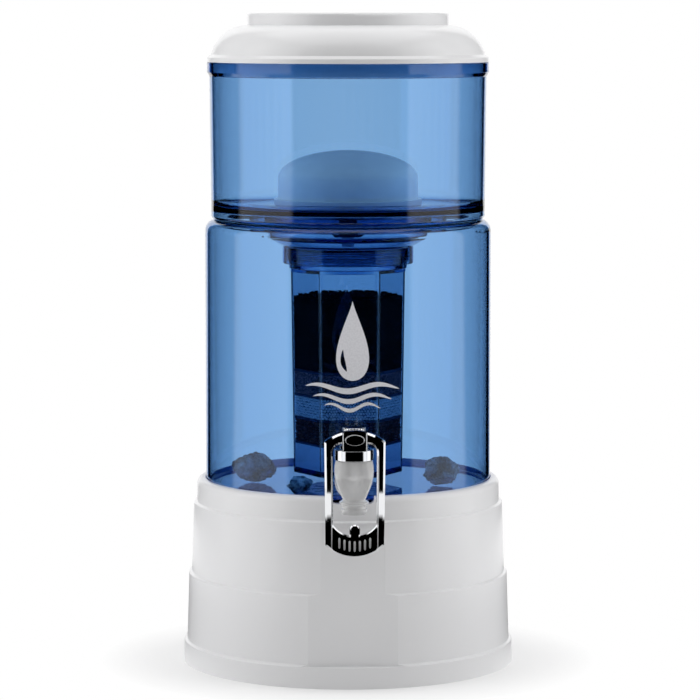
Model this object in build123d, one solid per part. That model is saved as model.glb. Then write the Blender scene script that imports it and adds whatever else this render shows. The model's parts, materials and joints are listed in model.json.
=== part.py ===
from build123d import *

import os
from math import cos, pi, radians, sin, sqrt

# Gravity water filter with a push tap, in millimetres.
#
# A white stand carries a clear blue tank. A second clear tank stands on its neck and takes the raw water. A ceramic
# dome on that tank's floor strains it, and its stem lets it down into the filter holder, where a hexagonal cartridge
# hangs with its layers of filter media. The clean water drops into the lower tank, whose push tap is at the front.
# +Z is up, -Y is the front, and the origin is on the axis of the tanks where the stand meets the table.

# ---- Driving dimensions ------------------------------------------------------------------------------------------

# Fits
FIT = 0.05  # radial clearance of parts pushed into one another
RUNNING = 0.06  # radial clearance of the hinge pin and the valve stem
LOOSE = 0.6  # clearance of parts that are lifted in and out by hand
THREAD_GAP = 0.3  # clearance left between threaded walls
THREAD_DEPTH = 1.0  # room for the thread on the inner one of two threaded walls

# Lower tank
TANK_R = 114.5
TANK_WALL = 3.0
TANK_FLOOR = 4.0
TANK_H = 215.3
TANK_SHOULDER = 9.5  # radius of the rounded shoulder
TANK_FOOT_ROUND = 5.0
TANK_FOOT_RING = 11.0  # width of the ring that the tank stands on
TANK_FOOT_RECESS = 1.2
NECK_R = 99.5  # radius of the tank's round mouth

# Stand
STAND_H = 148.5
STAND_WALL = 3.0
STAND_RIM = 6.8  # width of the rim round the tank
STAND_RIM_ROUND = 5.0
STAND_DRAFT = 0.032  # how fast the side leans in, per millimetre of height
SEAT_DEPTH = 7.5  # how deep the tank stands inside the rim
DECK = 3.0
LEDGE = 2.3  # width of each step in the side
LEDGE_RISE = 1.4
LEDGE_HEIGHTS = (16.5, 71.5, 128.5)
LEDGE_ROUND = 0.9
FACET_CUT = 4.7  # how far the flat front cuts into the lower band
DECK_RIBS = 8
RIB_T = 2.4
RIB_H = 12.0
NOTCH_W = 33.0  # the gap in the rim below the tap
NOTCH_DEPTH = 5.5
NOTCH_ROUND = 4.0

# Upper tank
UPPER_H = 125.1
UPPER_WALL = 2.8
UPPER_FLOOR = 2.8
UPPER_FLOOR_RISE = 10.4  # top of its floor above the lower tank's neck
UPPER_SET_IN = 5.0  # how much smaller than the lower tank it is, on the radius, at its foot
UPPER_FLARE = 1.1  # how much its wall opens towards the rim
UPPER_FLOOR_ROUND = 5.5  # inside, where its wall meets its floor
UPPER_FOOT = 2.4  # thickness of the foot that the wall turns in to
UPPER_FOOT_ROUND = 3.4
UPPER_LIP = 2.0  # depth of the lip that centres the tank in the lower one's mouth
UPPER_LIP_WALL = 2.2
RIM_FLANGE_R_IN = 2.0  # the rim flange stands this far inside the lower tank's radius
RIM_FLANGE_H = 8.0
RIM_FLANGE_TAPER = 3.2
SOCKET_WALL = 3.4  # ring under the floor that the filter holder screws into
SOCKET_TIP_WALL = 1.2  # its wall at its foot
SOCKET_H = 13.0
SHROUD_R = 79.2  # plain ring round the socket
SHROUD_WALL = 2.4
STEM_HOLE_R = 6.0

# Lid
LID_WALL = 2.6
LID_RIM_H = 3.6
LID_PLATEAU_R = 80.3
LID_PLATEAU_H = 9.6
LID_H = 38.9
LID_SHOULDER_IN = 3.2  # from the rim to the foot of the rounded shoulder
LID_SHOULDER_UP = 6.0
LID_SPIGOT_H = 9.5
LID_DISH_R = 74.0
LID_DISH = 1.1
LID_ROUND = 2.0

# Ceramic dome
DOME_R = 56.0
DOME_H = 40.3
DOME_WALL = 8.0
DOME_SIDE = 18.3  # height of its upright side
DOME_POINTS = 5  # points that its elliptic crown is drawn through
DOME_PLATE_R = 59.2
DOME_PLATE = 3.0
DOME_GASKET_R = 22.0
DOME_PLATE_LIP = 1.8  # height of the lip round the dome's foot
DOME_STEM_R = 5.0
DOME_STEM_BORE = 2.4
DOME_STEM_DROP = 26.5  # below the top of the tank's floor
GASKET_T = 1.0
WING_NUT_FLANGE_R = 13.0
WING_NUT_FLANGE = 2.6
WING_NUT_HUB_R = 7.4
WING_NUT_H = 20.5
WING_SPAN = 26.0
WING_H = 7.0
WING_T = 3.2

# Filter holder
HOLDER_R = 64.0
HOLDER_WALL = 2.5
HOLDER_DEPTH = 21.9
HOLDER_CONE = 6.2
COLLAR_R = 52.6
COLLAR_WALL = 3.0
COLLAR_H = 13.8
HOLDER_MOUTH_R = 42.0

# Cartridge
CAP_R = 47.6
CAP_H = 16.8
CAP_WALL = 2.4
CAP_TOP = 2.4
CAP_HOLE_R = 1.2  # fine enough to keep the grains in
CAP_HOLE_RINGS = ((12, 8), (23, 14), (34, 20))  # (radius, number of holes)
CAP_LAND_H = 10.8  # height of the threaded land that screws into the collar
JAR_CORNER_R = 44.5  # centre to corner of the hexagon, at its foot
JAR_DRAFT = 0.0134  # how fast its sides open, per millimetre of height
JAR_ROUND = 5.5  # rounding of its upright corners
JAR_WALL = 2.2
JAR_FLANGE = 2.4
NECK_WALL = 2.3
NECK_H = 12.0
JAR_FOOT = 2.4
JAR_FOOT_PLUG = 2.0
FOOT_SLOTS = 12
FOOT_SLOT_R = 22.0  # from the axis to the middle of a slot
FOOT_SLOT_L = 18.0
FOOT_SLOT_W = 3.0
CARTRIDGE_CLEAR = 7.0  # height over the tank's floor
DIVIDER_T = 1.8
DIVIDER_HOLE_R = 1.5
DIVIDER_RINGS = ((14, 8), (26, 14))  # (radius, number of holes)
BED_HEIGHTS = (19.4, 18.2, 16.8, 17.8)  # the four lower beds, from the foot up
CARBON_GAP = 19.5  # free height over the carbon
BED_GAP = 0.1

# Tap
TAP_Z_OVER_FLOOR = 15.0
TAP_HOLE_R = 8.4
TAP_BOSS_R = 15.0
TAP_BOSS_OUT = 1.1
TAP_BOSS_IN = 1.3
TAP_TAIL_R = 8.0
TAP_BORE_R = 4.0
TAP_FLANGE_R = 13.5
TAP_FLANGE = 3.0
WASHER_R = 14.0
WASHER_T = 2.5
NUT_FLATS = 26.0
NUT_T = 8.0
TAIL_OVER_NUT = 3.0
TAP_REACH = 28.9  # from the flange to the nozzle's axis
NOZZLE_R = 15.2
NOZZLE_END_R = 9.6
NOZZLE_NECK_R = 8.7
NOZZLE_NECK_BELOW_TAIL = 9.0
NOZZLE_SKIRT = 2.6  # how far the ring under the neck stands out
NOZZLE_OUT_R = 5.5
NOZZLE_TOP_OVER_TAIL = 23.4
NOZZLE_BELOW_TAIL = 20.1
CHAMBER_R = 10.8
SEAT_R = 7.6
SEAT_BELOW_TAIL = 7.0
SEAT_CONE = 4.0  # height of the seat's cone

# Bonnet, collar and hinge tower
COLLAR_RING_R = 15.1
COLLAR_RING_BORE = 13.1
COLLAR_RING_MOUTH = 11.3
COLLAR_RING_H = 8.6
COLLAR_RING_LAP = 2.0  # how far the ring reaches down over the body
BONNET_FLANGE_R = 12.8
BONNET_FLANGE = 3.0
BONNET_NECK_R = 11.0
BONNET_PLATE = 2.4
SHELF_BACK = 7.5  # how far before the nozzle's axis the front shelf starts
BONNET_GUIDE_R = 5.5
BONNET_GUIDE_H = 3.0
TOWER_W = 18.4
TOWER_BACK = 10.3  # from the nozzle's axis to the back of the tower
OVAL_W = 14.4
OVAL_H = 7.6
OVAL_LINE = 0.7
OVAL_DEPTH = 0.5

# Valve
STEM_R = 2.0
PLUG_H = 5.0
PLUG_SKIN = 1.6  # thickness of the plug below the stem
PLUG_GAP = 0.35  # drawn clearance of the soft plug round its cone
SPRING_R = 4.6
SPRING_WIRE_R = 0.45
SPRING_TURNS = 7
SEAL_R = 3.8
SEAL_H = 1.9
CROWN_R = 8.8
CROWN_H = 7.2
CROWN_TOP = 2.0  # thickness of the crown over the stem
CROWN_GROOVES = 24
CROWN_GROOVE_R = 0.65
CROWN_GAP = 0.8  # between the fork and the crown when the tap is shut

# Lever
LEVER_TOP_OVER_COLLAR = 15.8
LEVER_H = 97.4
LEVER_W_TOP = 46.4
LEVER_W_FOOT = 44.6
LEVER_CROWN = 8.3  # rise of the arched top
LEVER_CHIN = 9.6  # drop of the rounded foot
LEVER_BOW_R = 250.0  # radius of the bowed front, seen from the side
LEVER_BOW_BELOW_TOP = 36.0
LEVER_T = 8.0
LEVER_OUT = 21.5  # from the nozzle's axis to the front
WINDOW_W = 33.2
WINDOW_BELOW_TOP = 9.8
WINDOW_ROUND = 6.5
PLATE_H = 16.6  # height of the push plate at its middle
PLATE_DISH = 9.2  # how far its top edge dips at its middle
TAB_R = 4.0
TAB_H = 9.0
LEVER_BEVEL = 1.5
PLATE_SUNK = 0.6  # how far the push plate lies behind the two rails
PIN_R = 1.25
PIN_L = 31.0
PIN_BELOW_TOP = 6.8
PIN_BEHIND_FRONT = 5.5
TOWER_GAP = 0.3  # between the tower and the lever, each side
FORK_T = 2.5
FORK_BAR = 3.4
FORK_TOE = 3.3
FORK_BEHIND_PIN = 20.5
FORK_TOE_L = 8.5

# Stones lying in the lower tank: turn from the front, gap to the wall, size, own turn
STONES = (
    (-81.0, 16.0, (40.0, 30.0, 26.0), 20.0),
    (-26.0, 5.0, (33.0, 22.0, 16.0), 65.0),
    (66.0, 14.0, (35.0, 28.0, 25.5), -30.0),
)
STONE_CUTS = 14
STONE_DEPTH = 0.86  # how deep the flat cuts go, as a share of the egg that each stone is cut from

# ---- Places that follow from them --------------------------------------------------------------------------------

SEAT_Z = STAND_H - SEAT_DEPTH
FLOOR_Z = SEAT_Z + TANK_FLOOR
NECK_Z = SEAT_Z + TANK_H
UPPER_FLOOR_Z = NECK_Z + UPPER_FLOOR_RISE
UPPER_UNDER_Z = UPPER_FLOOR_Z - UPPER_FLOOR
RIM_Z = NECK_Z + UPPER_H
UPPER_FOOT_R = TANK_R - UPPER_SET_IN
UPPER_TOP_R = UPPER_FOOT_R + UPPER_FLARE
RIM_R = TANK_R - RIM_FLANGE_R_IN
MOUTH_R = UPPER_TOP_R - UPPER_WALL
HOLDER_TOP_Z = UPPER_UNDER_Z - GASKET_T
HOLDER_FOOT_Z = HOLDER_TOP_Z - HOLDER_DEPTH
COLLAR_TOP_Z = HOLDER_FOOT_Z - HOLDER_CONE
COLLAR_FOOT_Z = COLLAR_TOP_Z - COLLAR_H
CAP_BORE_R = CAP_R - CAP_WALL
CAP_TOP_Z = COLLAR_TOP_Z - GASKET_T
CAP_FOOT_Z = CAP_TOP_Z - CAP_H
JAR_TOP_Z = CAP_FOOT_Z
JAR_FOOT_Z = FLOOR_Z + CARTRIDGE_CLEAR
STAND_R = TANK_R + STAND_RIM + len(LEDGE_HEIGHTS) * LEDGE + STAND_DRAFT * STAND_H
TAP_Z = FLOOR_Z + TAP_Z_OVER_FLOOR
TAP_FACE_Y = -(TANK_R + TAP_BOSS_OUT)
TAP_INNER_Y = -(TANK_R - TANK_WALL - TAP_BOSS_IN)
TAP_FLANGE_Y = TAP_FACE_Y - WASHER_T
NOZZLE_Y = TAP_FLANGE_Y - TAP_FLANGE - TAP_REACH
BODY_TOP_Z = TAP_Z + NOZZLE_TOP_OVER_TAIL
NOZZLE_END_Z = TAP_Z - NOZZLE_BELOW_TAIL
SEAT_FOOT_Z = TAP_Z - SEAT_BELOW_TAIL
SEAT_TOP_Z = SEAT_FOOT_Z + SEAT_CONE
BONNET_Z = BODY_TOP_Z + GASKET_T
COLLAR_RING_Z = BODY_TOP_Z - COLLAR_RING_LAP
PLATE_Z = COLLAR_RING_Z + COLLAR_RING_H + 0.6
LEVER_TOP_Z = COLLAR_RING_Z + COLLAR_RING_H + LEVER_TOP_OVER_COLLAR
LEVER_FOOT_Z = LEVER_TOP_Z - LEVER_H
BOW_Z = LEVER_TOP_Z - LEVER_BOW_BELOW_TOP
BOW_Y = NOZZLE_Y - LEVER_OUT + LEVER_BOW_R
WINDOW_TOP_Z = LEVER_TOP_Z - WINDOW_BELOW_TOP
PIN_Z = LEVER_TOP_Z - PIN_BELOW_TOP
PIN_Y = NOZZLE_Y - LEVER_OUT + PIN_BEHIND_FRONT
FORK_TOP_Z = PIN_Z - 0.5
CROWN_Z = FORK_TOP_Z + CROWN_GAP
SPRING_TOP_Z = BONNET_Z
SPRING_FOOT_Z = SEAT_FOOT_Z + PLUG_H


# ---- Ways of making shapes ---------------------------------------------------------------------------------------


def turned(*corners):
    """A solid turned about Z from (radius, height) or (radius, height, rounding) corners."""
    points = [corner[:2] for corner in corners]
    rounds = [corner[2] if len(corner) > 2 else 0 for corner in corners]
    outline = FilletPolyline(*points, radius=rounds, close=True)
    return revolve(Plane.XZ * make_face(outline), Axis.Z)


def tube(outer, inner, foot, top):
    """A plain ring about Z."""
    return turned((inner, foot), (outer, foot), (outer, top), (inner, top))


def disc(radius, foot, top):
    """A plain round plate about Z."""
    return Pos(0, 0, (foot + top) / 2) * Cylinder(radius, top - foot)


def rod_x(radius, length, y, z):
    """A rod along X, centred on the middle plane."""
    return Pos(0, y, z) * Rot(0, 90, 0) * Cylinder(radius, length)


def rod_y(radius, front, back, z):
    """A rod along Y on the middle plane, from front to back."""
    return Pos(0, (front + back) / 2, z) * Rot(90, 0, 0) * Cylinder(radius, back - front)


def block(x, y, z):
    """A box from its (low, high) pairs."""
    centre = [(low + high) / 2 for low, high in (x, y, z)]
    sides = [high - low for low, high in (x, y, z)]
    return Pos(*centre) * Box(*sides)


def hexagon(inset, foot, top):
    """A piece of the jar's hexagon about Z, flat side to the front, its sides moved in by inset."""
    sections = []
    for z in (foot, top):
        corner_r = JAR_CORNER_R + JAR_DRAFT * (z - JAR_FOOT_Z) - inset / cos(pi / 6)
        polygon = RegularPolygon(corner_r, 6)
        sections.append(Plane.XY.offset(z) * fillet(polygon.vertices(), JAR_ROUND - inset))
    return loft(sections)


def around(shape, count, first=0.0):
    """Copies of a shape, turned about Z."""
    return [Rot(0, 0, first + 360 * i / count) * shape for i in range(count)]


# ---- Stand -------------------------------------------------------------------------------------------------------


def stand_side(inset, top):
    """Corners of the stand's stepped side from the foot to top, moved in by inset."""
    corners = []
    radius, foot = STAND_R - inset, 0.0
    for ledge in LEDGE_HEIGHTS:
        ledge_z = ledge - inset
        corners.append((radius, foot) if foot == 0 else (radius, foot, LEDGE_ROUND))
        radius -= STAND_DRAFT * (ledge_z - foot)
        corners.append((radius, ledge_z, LEDGE_ROUND))
        radius -= LEDGE
        foot = ledge_z + LEDGE_RISE
    corners.append((radius, foot, LEDGE_ROUND))
    corners.append((radius - STAND_DRAFT * (top - foot), top))
    return corners


def facet_cutter(inset):
    """The block that cuts the flat front of the two bands, leaning with the side."""
    low, high = LEDGE_HEIGHTS[0] - inset, LEDGE_HEIGHTS[-1] - inset
    front = STAND_R - LEDGE - FACET_CUT - inset
    lean = Plane.YZ * make_face(
        Polyline(
            (-front + STAND_DRAFT * low, low),
            (-front + STAND_DRAFT * high, high),
            (-2 * STAND_R, high),
            (-2 * STAND_R, low),
            close=True,
        )
    )
    return extrude(lean, STAND_R, both=True)


def make_stand():
    side = stand_side(0, STAND_H)
    rim_r, rim_z = side.pop()
    outer = turned((0, 0), *side, (rim_r, rim_z, STAND_RIM_ROUND), (0, rim_z)) - facet_cutter(0)
    under = SEAT_Z - DECK
    hollow = turned((0, 0), *stand_side(STAND_WALL, under), (0, under)) - facet_cutter(STAND_WALL)
    rib = block((0, STAND_R), (-RIB_T / 2, RIB_T / 2), (under - RIB_H, under + 0.1))
    ribs = Part() + around(rib, DECK_RIBS, 360 / DECK_RIBS / 2)
    hollow -= ribs
    recess = disc(TANK_R + LOOSE, SEAT_Z, STAND_H + 1)
    notch_face = Plane.XZ * Pos(0, STAND_H + NOTCH_ROUND) * RectangleRounded(
        NOTCH_W, 2 * (NOTCH_DEPTH + NOTCH_ROUND), NOTCH_ROUND
    )
    notch = extrude(notch_face, STAND_R)
    return outer - hollow - recess - notch


# ---- Lower tank --------------------------------------------------------------------------------------------------


def make_lower_tank():
    inner_r = TANK_R - TANK_WALL
    ring_r = TANK_R - TANK_FOOT_RING
    shell = turned(
        (0, SEAT_Z + TANK_FOOT_RECESS),
        (ring_r - TANK_FOOT_RECESS, SEAT_Z + TANK_FOOT_RECESS),
        (ring_r, SEAT_Z),
        (TANK_R, SEAT_Z, TANK_FOOT_ROUND),
        (TANK_R, NECK_Z, TANK_SHOULDER),
        (NECK_R, NECK_Z, 0.8),
        (NECK_R, NECK_Z - TANK_WALL, 0.8),
        (inner_r, NECK_Z - TANK_WALL, TANK_SHOULDER - TANK_WALL),
        (inner_r, FLOOR_Z, TANK_WALL),
        (0, FLOOR_Z),
    )
    boss = rod_y(TAP_BOSS_R, TAP_FACE_Y, TAP_INNER_Y, TAP_Z) - disc(TANK_R, 0, SEAT_Z)
    hole = rod_y(TAP_HOLE_R, TAP_FACE_Y - 1, TAP_INNER_Y + 1, TAP_Z)
    return shell + boss - hole


def make_stone(number):
    """A rough stone: an egg with flat faces broken off it, lying on the tank's floor."""
    turn, gap, (length, width, height), own_turn = STONES[number]
    egg = scale(Sphere(0.5), by=(length, width, height))
    golden = pi * (3 - sqrt(5))
    for i in range(STONE_CUTS):
        level = 0.96 - 1.92 * i / (STONE_CUTS - 1)
        heading = golden * i + number
        across = sqrt(1 - level**2)
        normal = Vector(across * cos(heading) / length, across * sin(heading) / width, level / height)
        depth = STONE_DEPTH + 0.05 * sin(5 * i + number)
        touch = Vector(across * cos(heading) * length, across * sin(heading) * width, level * height)
        plane = Plane(touch * (depth / 2), z_dir=normal.normalized())
        egg = split(egg, plane, keep=Keep.BOTTOM)
    egg = Rot(0, 0, own_turn) * egg
    lowest = egg.bounding_box().min.Z
    place_r = TANK_R - TANK_WALL - gap - length / 2
    heading = radians(turn)
    return Pos(place_r * sin(heading), -place_r * cos(heading), FLOOR_Z - lowest) * egg


# ---- Upper tank --------------------------------------------------------------------------------------------------


def make_upper_tank():
    inner_r = UPPER_FOOT_R - UPPER_WALL
    lip_r = NECK_R - LOOSE
    foot_top_z = NECK_Z + UPPER_FOOT
    taper_z = RIM_Z - RIM_FLANGE_H
    socket_in = HOLDER_R + THREAD_DEPTH + THREAD_GAP
    shell = turned(
        (STEM_HOLE_R, UPPER_UNDER_Z),
        (inner_r, UPPER_UNDER_Z, 1.0),
        (inner_r, foot_top_z, 0.8),
        (lip_r - UPPER_LIP_WALL, foot_top_z, 0.8),
        (lip_r - UPPER_LIP_WALL, NECK_Z - UPPER_LIP, 0.6),
        (lip_r, NECK_Z - UPPER_LIP, 0.6),
        (lip_r, NECK_Z),
        (UPPER_FOOT_R, NECK_Z, UPPER_FOOT_ROUND),
        (UPPER_TOP_R, taper_z - RIM_FLANGE_TAPER, 1.0),
        (RIM_R, taper_z, 1.0),
        (RIM_R, RIM_Z, 0.6),
        (MOUTH_R, RIM_Z, 0.6),
        (inner_r, UPPER_FLOOR_Z, UPPER_FLOOR_ROUND),
        (STEM_HOLE_R, UPPER_FLOOR_Z),
    )
    ring_z = UPPER_UNDER_Z - SOCKET_H
    socket = turned(
        (socket_in, UPPER_UNDER_Z),
        (socket_in, ring_z),
        (socket_in + SOCKET_TIP_WALL, ring_z),
        (socket_in + SOCKET_WALL, UPPER_UNDER_Z),
    )
    shroud = tube(SHROUD_R, SHROUD_R - SHROUD_WALL, ring_z, UPPER_UNDER_Z)
    return shell + socket + shroud


# ---- Lid ---------------------------------------------------------------------------------------------------------


def lid_form(inset, foot):
    """The lid's turned form, moved in by inset: rim, rounded shoulder, upright step and flat top."""
    top = RIM_Z + LID_H - inset
    step_z = RIM_Z + LID_H - LID_PLATEAU_H - inset
    shoulder = (RIM_R - LID_SHOULDER_IN - inset, RIM_Z + LID_SHOULDER_UP - inset)
    step = (LID_PLATEAU_R - inset, step_z)
    reach, rise = shoulder[0] - step[0], step[1] - shoulder[1]
    middle = (step[0] + reach * 0.70, shoulder[1] + rise * 0.64)
    side = [
        Line((0, foot), (RIM_R - inset, foot)),
        Line((RIM_R - inset, foot), (RIM_R - inset, RIM_Z + LID_RIM_H - inset)),
        Line((RIM_R - inset, RIM_Z + LID_RIM_H - inset), shoulder),
        ThreePointArc(shoulder, middle, step),
        Line(step, (LID_PLATEAU_R - inset, top)),
        Line((LID_PLATEAU_R - inset, top), (0, top)),
        Line((0, top), (0, foot)),
    ]
    return revolve(Plane.XZ * make_face(side), Axis.Z)


def make_lid():
    outer = lid_form(0, RIM_Z)
    top_z = RIM_Z + LID_H
    plateau_edge = [
        e
        for e in outer.edges().filter_by(GeomType.CIRCLE)
        if abs(e.radius - LID_PLATEAU_R) < 0.01 and abs(e.center().Z - top_z) < 0.01
    ]
    outer = fillet(plateau_edge, LID_ROUND)
    rim_edges = [
        e
        for e in outer.edges().filter_by(GeomType.CIRCLE)
        if abs(e.radius - RIM_R) < 0.01 and e.center().Z > RIM_Z + 1
    ]
    outer = fillet(rim_edges, 1.0)
    hollow = lid_form(LID_WALL, RIM_Z - 1)
    dish = disc(LID_DISH_R, top_z - LID_DISH, top_z + 1)
    spigot_r = MOUTH_R - LOOSE
    spigot = turned(
        (spigot_r - LID_WALL, RIM_Z - LID_SPIGOT_H, 0.6),
        (spigot_r, RIM_Z - LID_SPIGOT_H, 0.6),
        (spigot_r, RIM_Z),
        (RIM_R - LID_WALL, RIM_Z),
        (RIM_R - LID_WALL, RIM_Z + 1.6),
        (spigot_r - LID_WALL, RIM_Z + 1.6),
    )
    return outer - hollow - dish + spigot


# ---- Ceramic dome ------------------------------------------------------------------------------------------------

DOME_FOOT_Z = UPPER_FLOOR_Z + GASKET_T + DOME_PLATE


def dome_form(inset):
    """The dome's full form, moved in by inset: an upright side that rounds over into an elliptic crown."""
    radius, top = DOME_R - inset, DOME_FOOT_Z + DOME_H - inset
    side_z = DOME_FOOT_Z + DOME_SIDE
    turns = [radians(90 * i / DOME_POINTS) for i in range(DOME_POINTS + 1)]
    points = [(radius * cos(turn), side_z + (top - side_z) * sin(turn)) for turn in turns]
    curve = Spline(*points, tangents=((0, 1), (-1, 0)))
    side = [
        Line((0, DOME_FOOT_Z), (radius, DOME_FOOT_Z)),
        Line((radius, DOME_FOOT_Z), (radius, side_z)),
        curve,
        Line((0, top), (0, DOME_FOOT_Z)),
    ]
    return revolve(Plane.XZ * make_face(side), Axis.Z)


def make_dome():
    return dome_form(0) - dome_form(DOME_WALL)


def make_dome_plate():
    """The plate under the dome, with a low rim round it and the hollow threaded stem."""
    foot = UPPER_FLOOR_Z + GASKET_T
    plate = turned(
        (0, foot),
        (DOME_PLATE_R, foot, 0.6),
        (DOME_PLATE_R, foot + DOME_PLATE + DOME_PLATE_LIP, 0.6),
        (DOME_R + FIT, foot + DOME_PLATE + DOME_PLATE_LIP),
        (DOME_R + FIT, foot + DOME_PLATE),
        (0, foot + DOME_PLATE),
    )
    stem = disc(DOME_STEM_R, UPPER_FLOOR_Z - DOME_STEM_DROP, foot + 0.1)
    bore = disc(DOME_STEM_BORE, UPPER_FLOOR_Z - DOME_STEM_DROP - 1, foot + DOME_PLATE + 1)
    return plate + stem - bore


def make_wing_nut():
    foot = UPPER_UNDER_Z - WING_NUT_H
    hub = disc(WING_NUT_HUB_R, foot, UPPER_UNDER_Z)
    flange = disc(WING_NUT_FLANGE_R, UPPER_UNDER_Z - WING_NUT_FLANGE, UPPER_UNDER_Z)
    wing_face = Plane.XZ * Pos(0, foot + WING_H / 2) * Trapezoid(WING_SPAN, WING_H, 70, rotation=180)
    wings = extrude(wing_face, WING_T / 2, both=True)
    bore = disc(DOME_STEM_R + FIT, foot - 1, UPPER_UNDER_Z + 1)
    return hub + flange + wings - bore


# ---- Filter holder and cartridge ---------------------------------------------------------------------------------


def make_holder():
    """A cup whose sloping floor lets the water down to the collar that holds the cartridge."""
    shelf_z = COLLAR_TOP_Z + HOLDER_WALL
    return turned(
        (HOLDER_R - HOLDER_WALL, HOLDER_TOP_Z, 0.5),
        (HOLDER_R - HOLDER_WALL, HOLDER_FOOT_Z + HOLDER_WALL, 2.0),
        (COLLAR_R, shelf_z + 0.6),
        (HOLDER_MOUTH_R, shelf_z),
        (HOLDER_MOUTH_R, COLLAR_TOP_Z),
        (COLLAR_R - COLLAR_WALL, COLLAR_TOP_Z),
        (COLLAR_R - COLLAR_WALL, COLLAR_FOOT_Z, 0.6),
        (COLLAR_R, COLLAR_FOOT_Z, 0.6),
        (COLLAR_R, COLLAR_TOP_Z, 1.0),
        (HOLDER_R, HOLDER_FOOT_Z, 2.5),
        (HOLDER_R, HOLDER_TOP_Z, 0.5),
    )


def make_cap():
    """The round screw cap of the cartridge, with three rings of inlet holes in its top."""
    land_r = COLLAR_R - COLLAR_WALL - THREAD_GAP - THREAD_DEPTH
    land_z = CAP_TOP_Z - CAP_LAND_H
    cap = turned(
        (0, CAP_TOP_Z - CAP_TOP),
        (CAP_BORE_R, CAP_TOP_Z - CAP_TOP),
        (CAP_BORE_R, CAP_FOOT_Z),
        (CAP_R, CAP_FOOT_Z, 0.8),
        (CAP_R, land_z),
        (land_r, land_z, 0.5),
        (land_r, CAP_TOP_Z, 1.0),
        (0, CAP_TOP_Z),
    )
    hole = disc(CAP_HOLE_R, CAP_TOP_Z - CAP_TOP - 1, CAP_TOP_Z + 1)
    holes = []
    for ring, count in CAP_HOLE_RINGS:
        holes += around(Pos(ring, 0, 0) * hole, count)
    return cap - holes


def make_jar():
    """The hexagonal jar, open at the foot, with a round neck that the cap goes over."""
    neck_r = CAP_BORE_R - THREAD_GAP - THREAD_DEPTH
    shell = hexagon(0, JAR_FOOT_Z + JAR_FOOT, JAR_TOP_Z)
    flange = disc(CAP_R - 1.0, JAR_TOP_Z - JAR_FLANGE, JAR_TOP_Z)
    neck = disc(neck_r, JAR_TOP_Z - 0.1, JAR_TOP_Z + NECK_H)
    inside = hexagon(JAR_WALL, JAR_FOOT_Z, JAR_TOP_Z + 0.1)
    neck_inside = disc(neck_r - NECK_WALL, JAR_TOP_Z, JAR_TOP_Z + NECK_H + 1)
    return shell + flange + neck - inside - neck_inside


def make_jar_foot():
    """The slotted plate that closes the jar from below."""
    plate = hexagon(0, JAR_FOOT_Z, JAR_FOOT_Z + JAR_FOOT)
    plug = hexagon(JAR_WALL + BED_GAP, JAR_FOOT_Z + JAR_FOOT, JAR_FOOT_Z + JAR_FOOT + JAR_FOOT_PLUG)
    slot = extrude(SlotOverall(FOOT_SLOT_L, FOOT_SLOT_W), JAR_FOOT + JAR_FOOT_PLUG + 2)
    return plate + plug - around(Pos(FOOT_SLOT_R, 0, JAR_FOOT_Z - 1) * slot, FOOT_SLOTS)


def bed_levels():
    """(foot, top) of each bed from the jar's foot up, with room for a divider between two beds."""
    levels, z = [], JAR_FOOT_Z + JAR_FOOT + JAR_FOOT_PLUG
    for height in BED_HEIGHTS:
        levels.append((z, z + height))
        z += height + DIVIDER_T
    levels.append((z, JAR_TOP_Z - CARBON_GAP))
    return levels


def make_divider(below, above):
    """A perforated plate between two beds."""
    plate = hexagon(JAR_WALL + BED_GAP, below, above)
    hole = disc(DIVIDER_HOLE_R, below - 1, above + 1)
    holes = []
    for ring, count in DIVIDER_RINGS:
        holes += around(Pos(ring, 0, 0) * hole, count)
    return plate - holes


# ---- Tap body and valve ------------------------------------------------------------------------------------------


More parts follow.
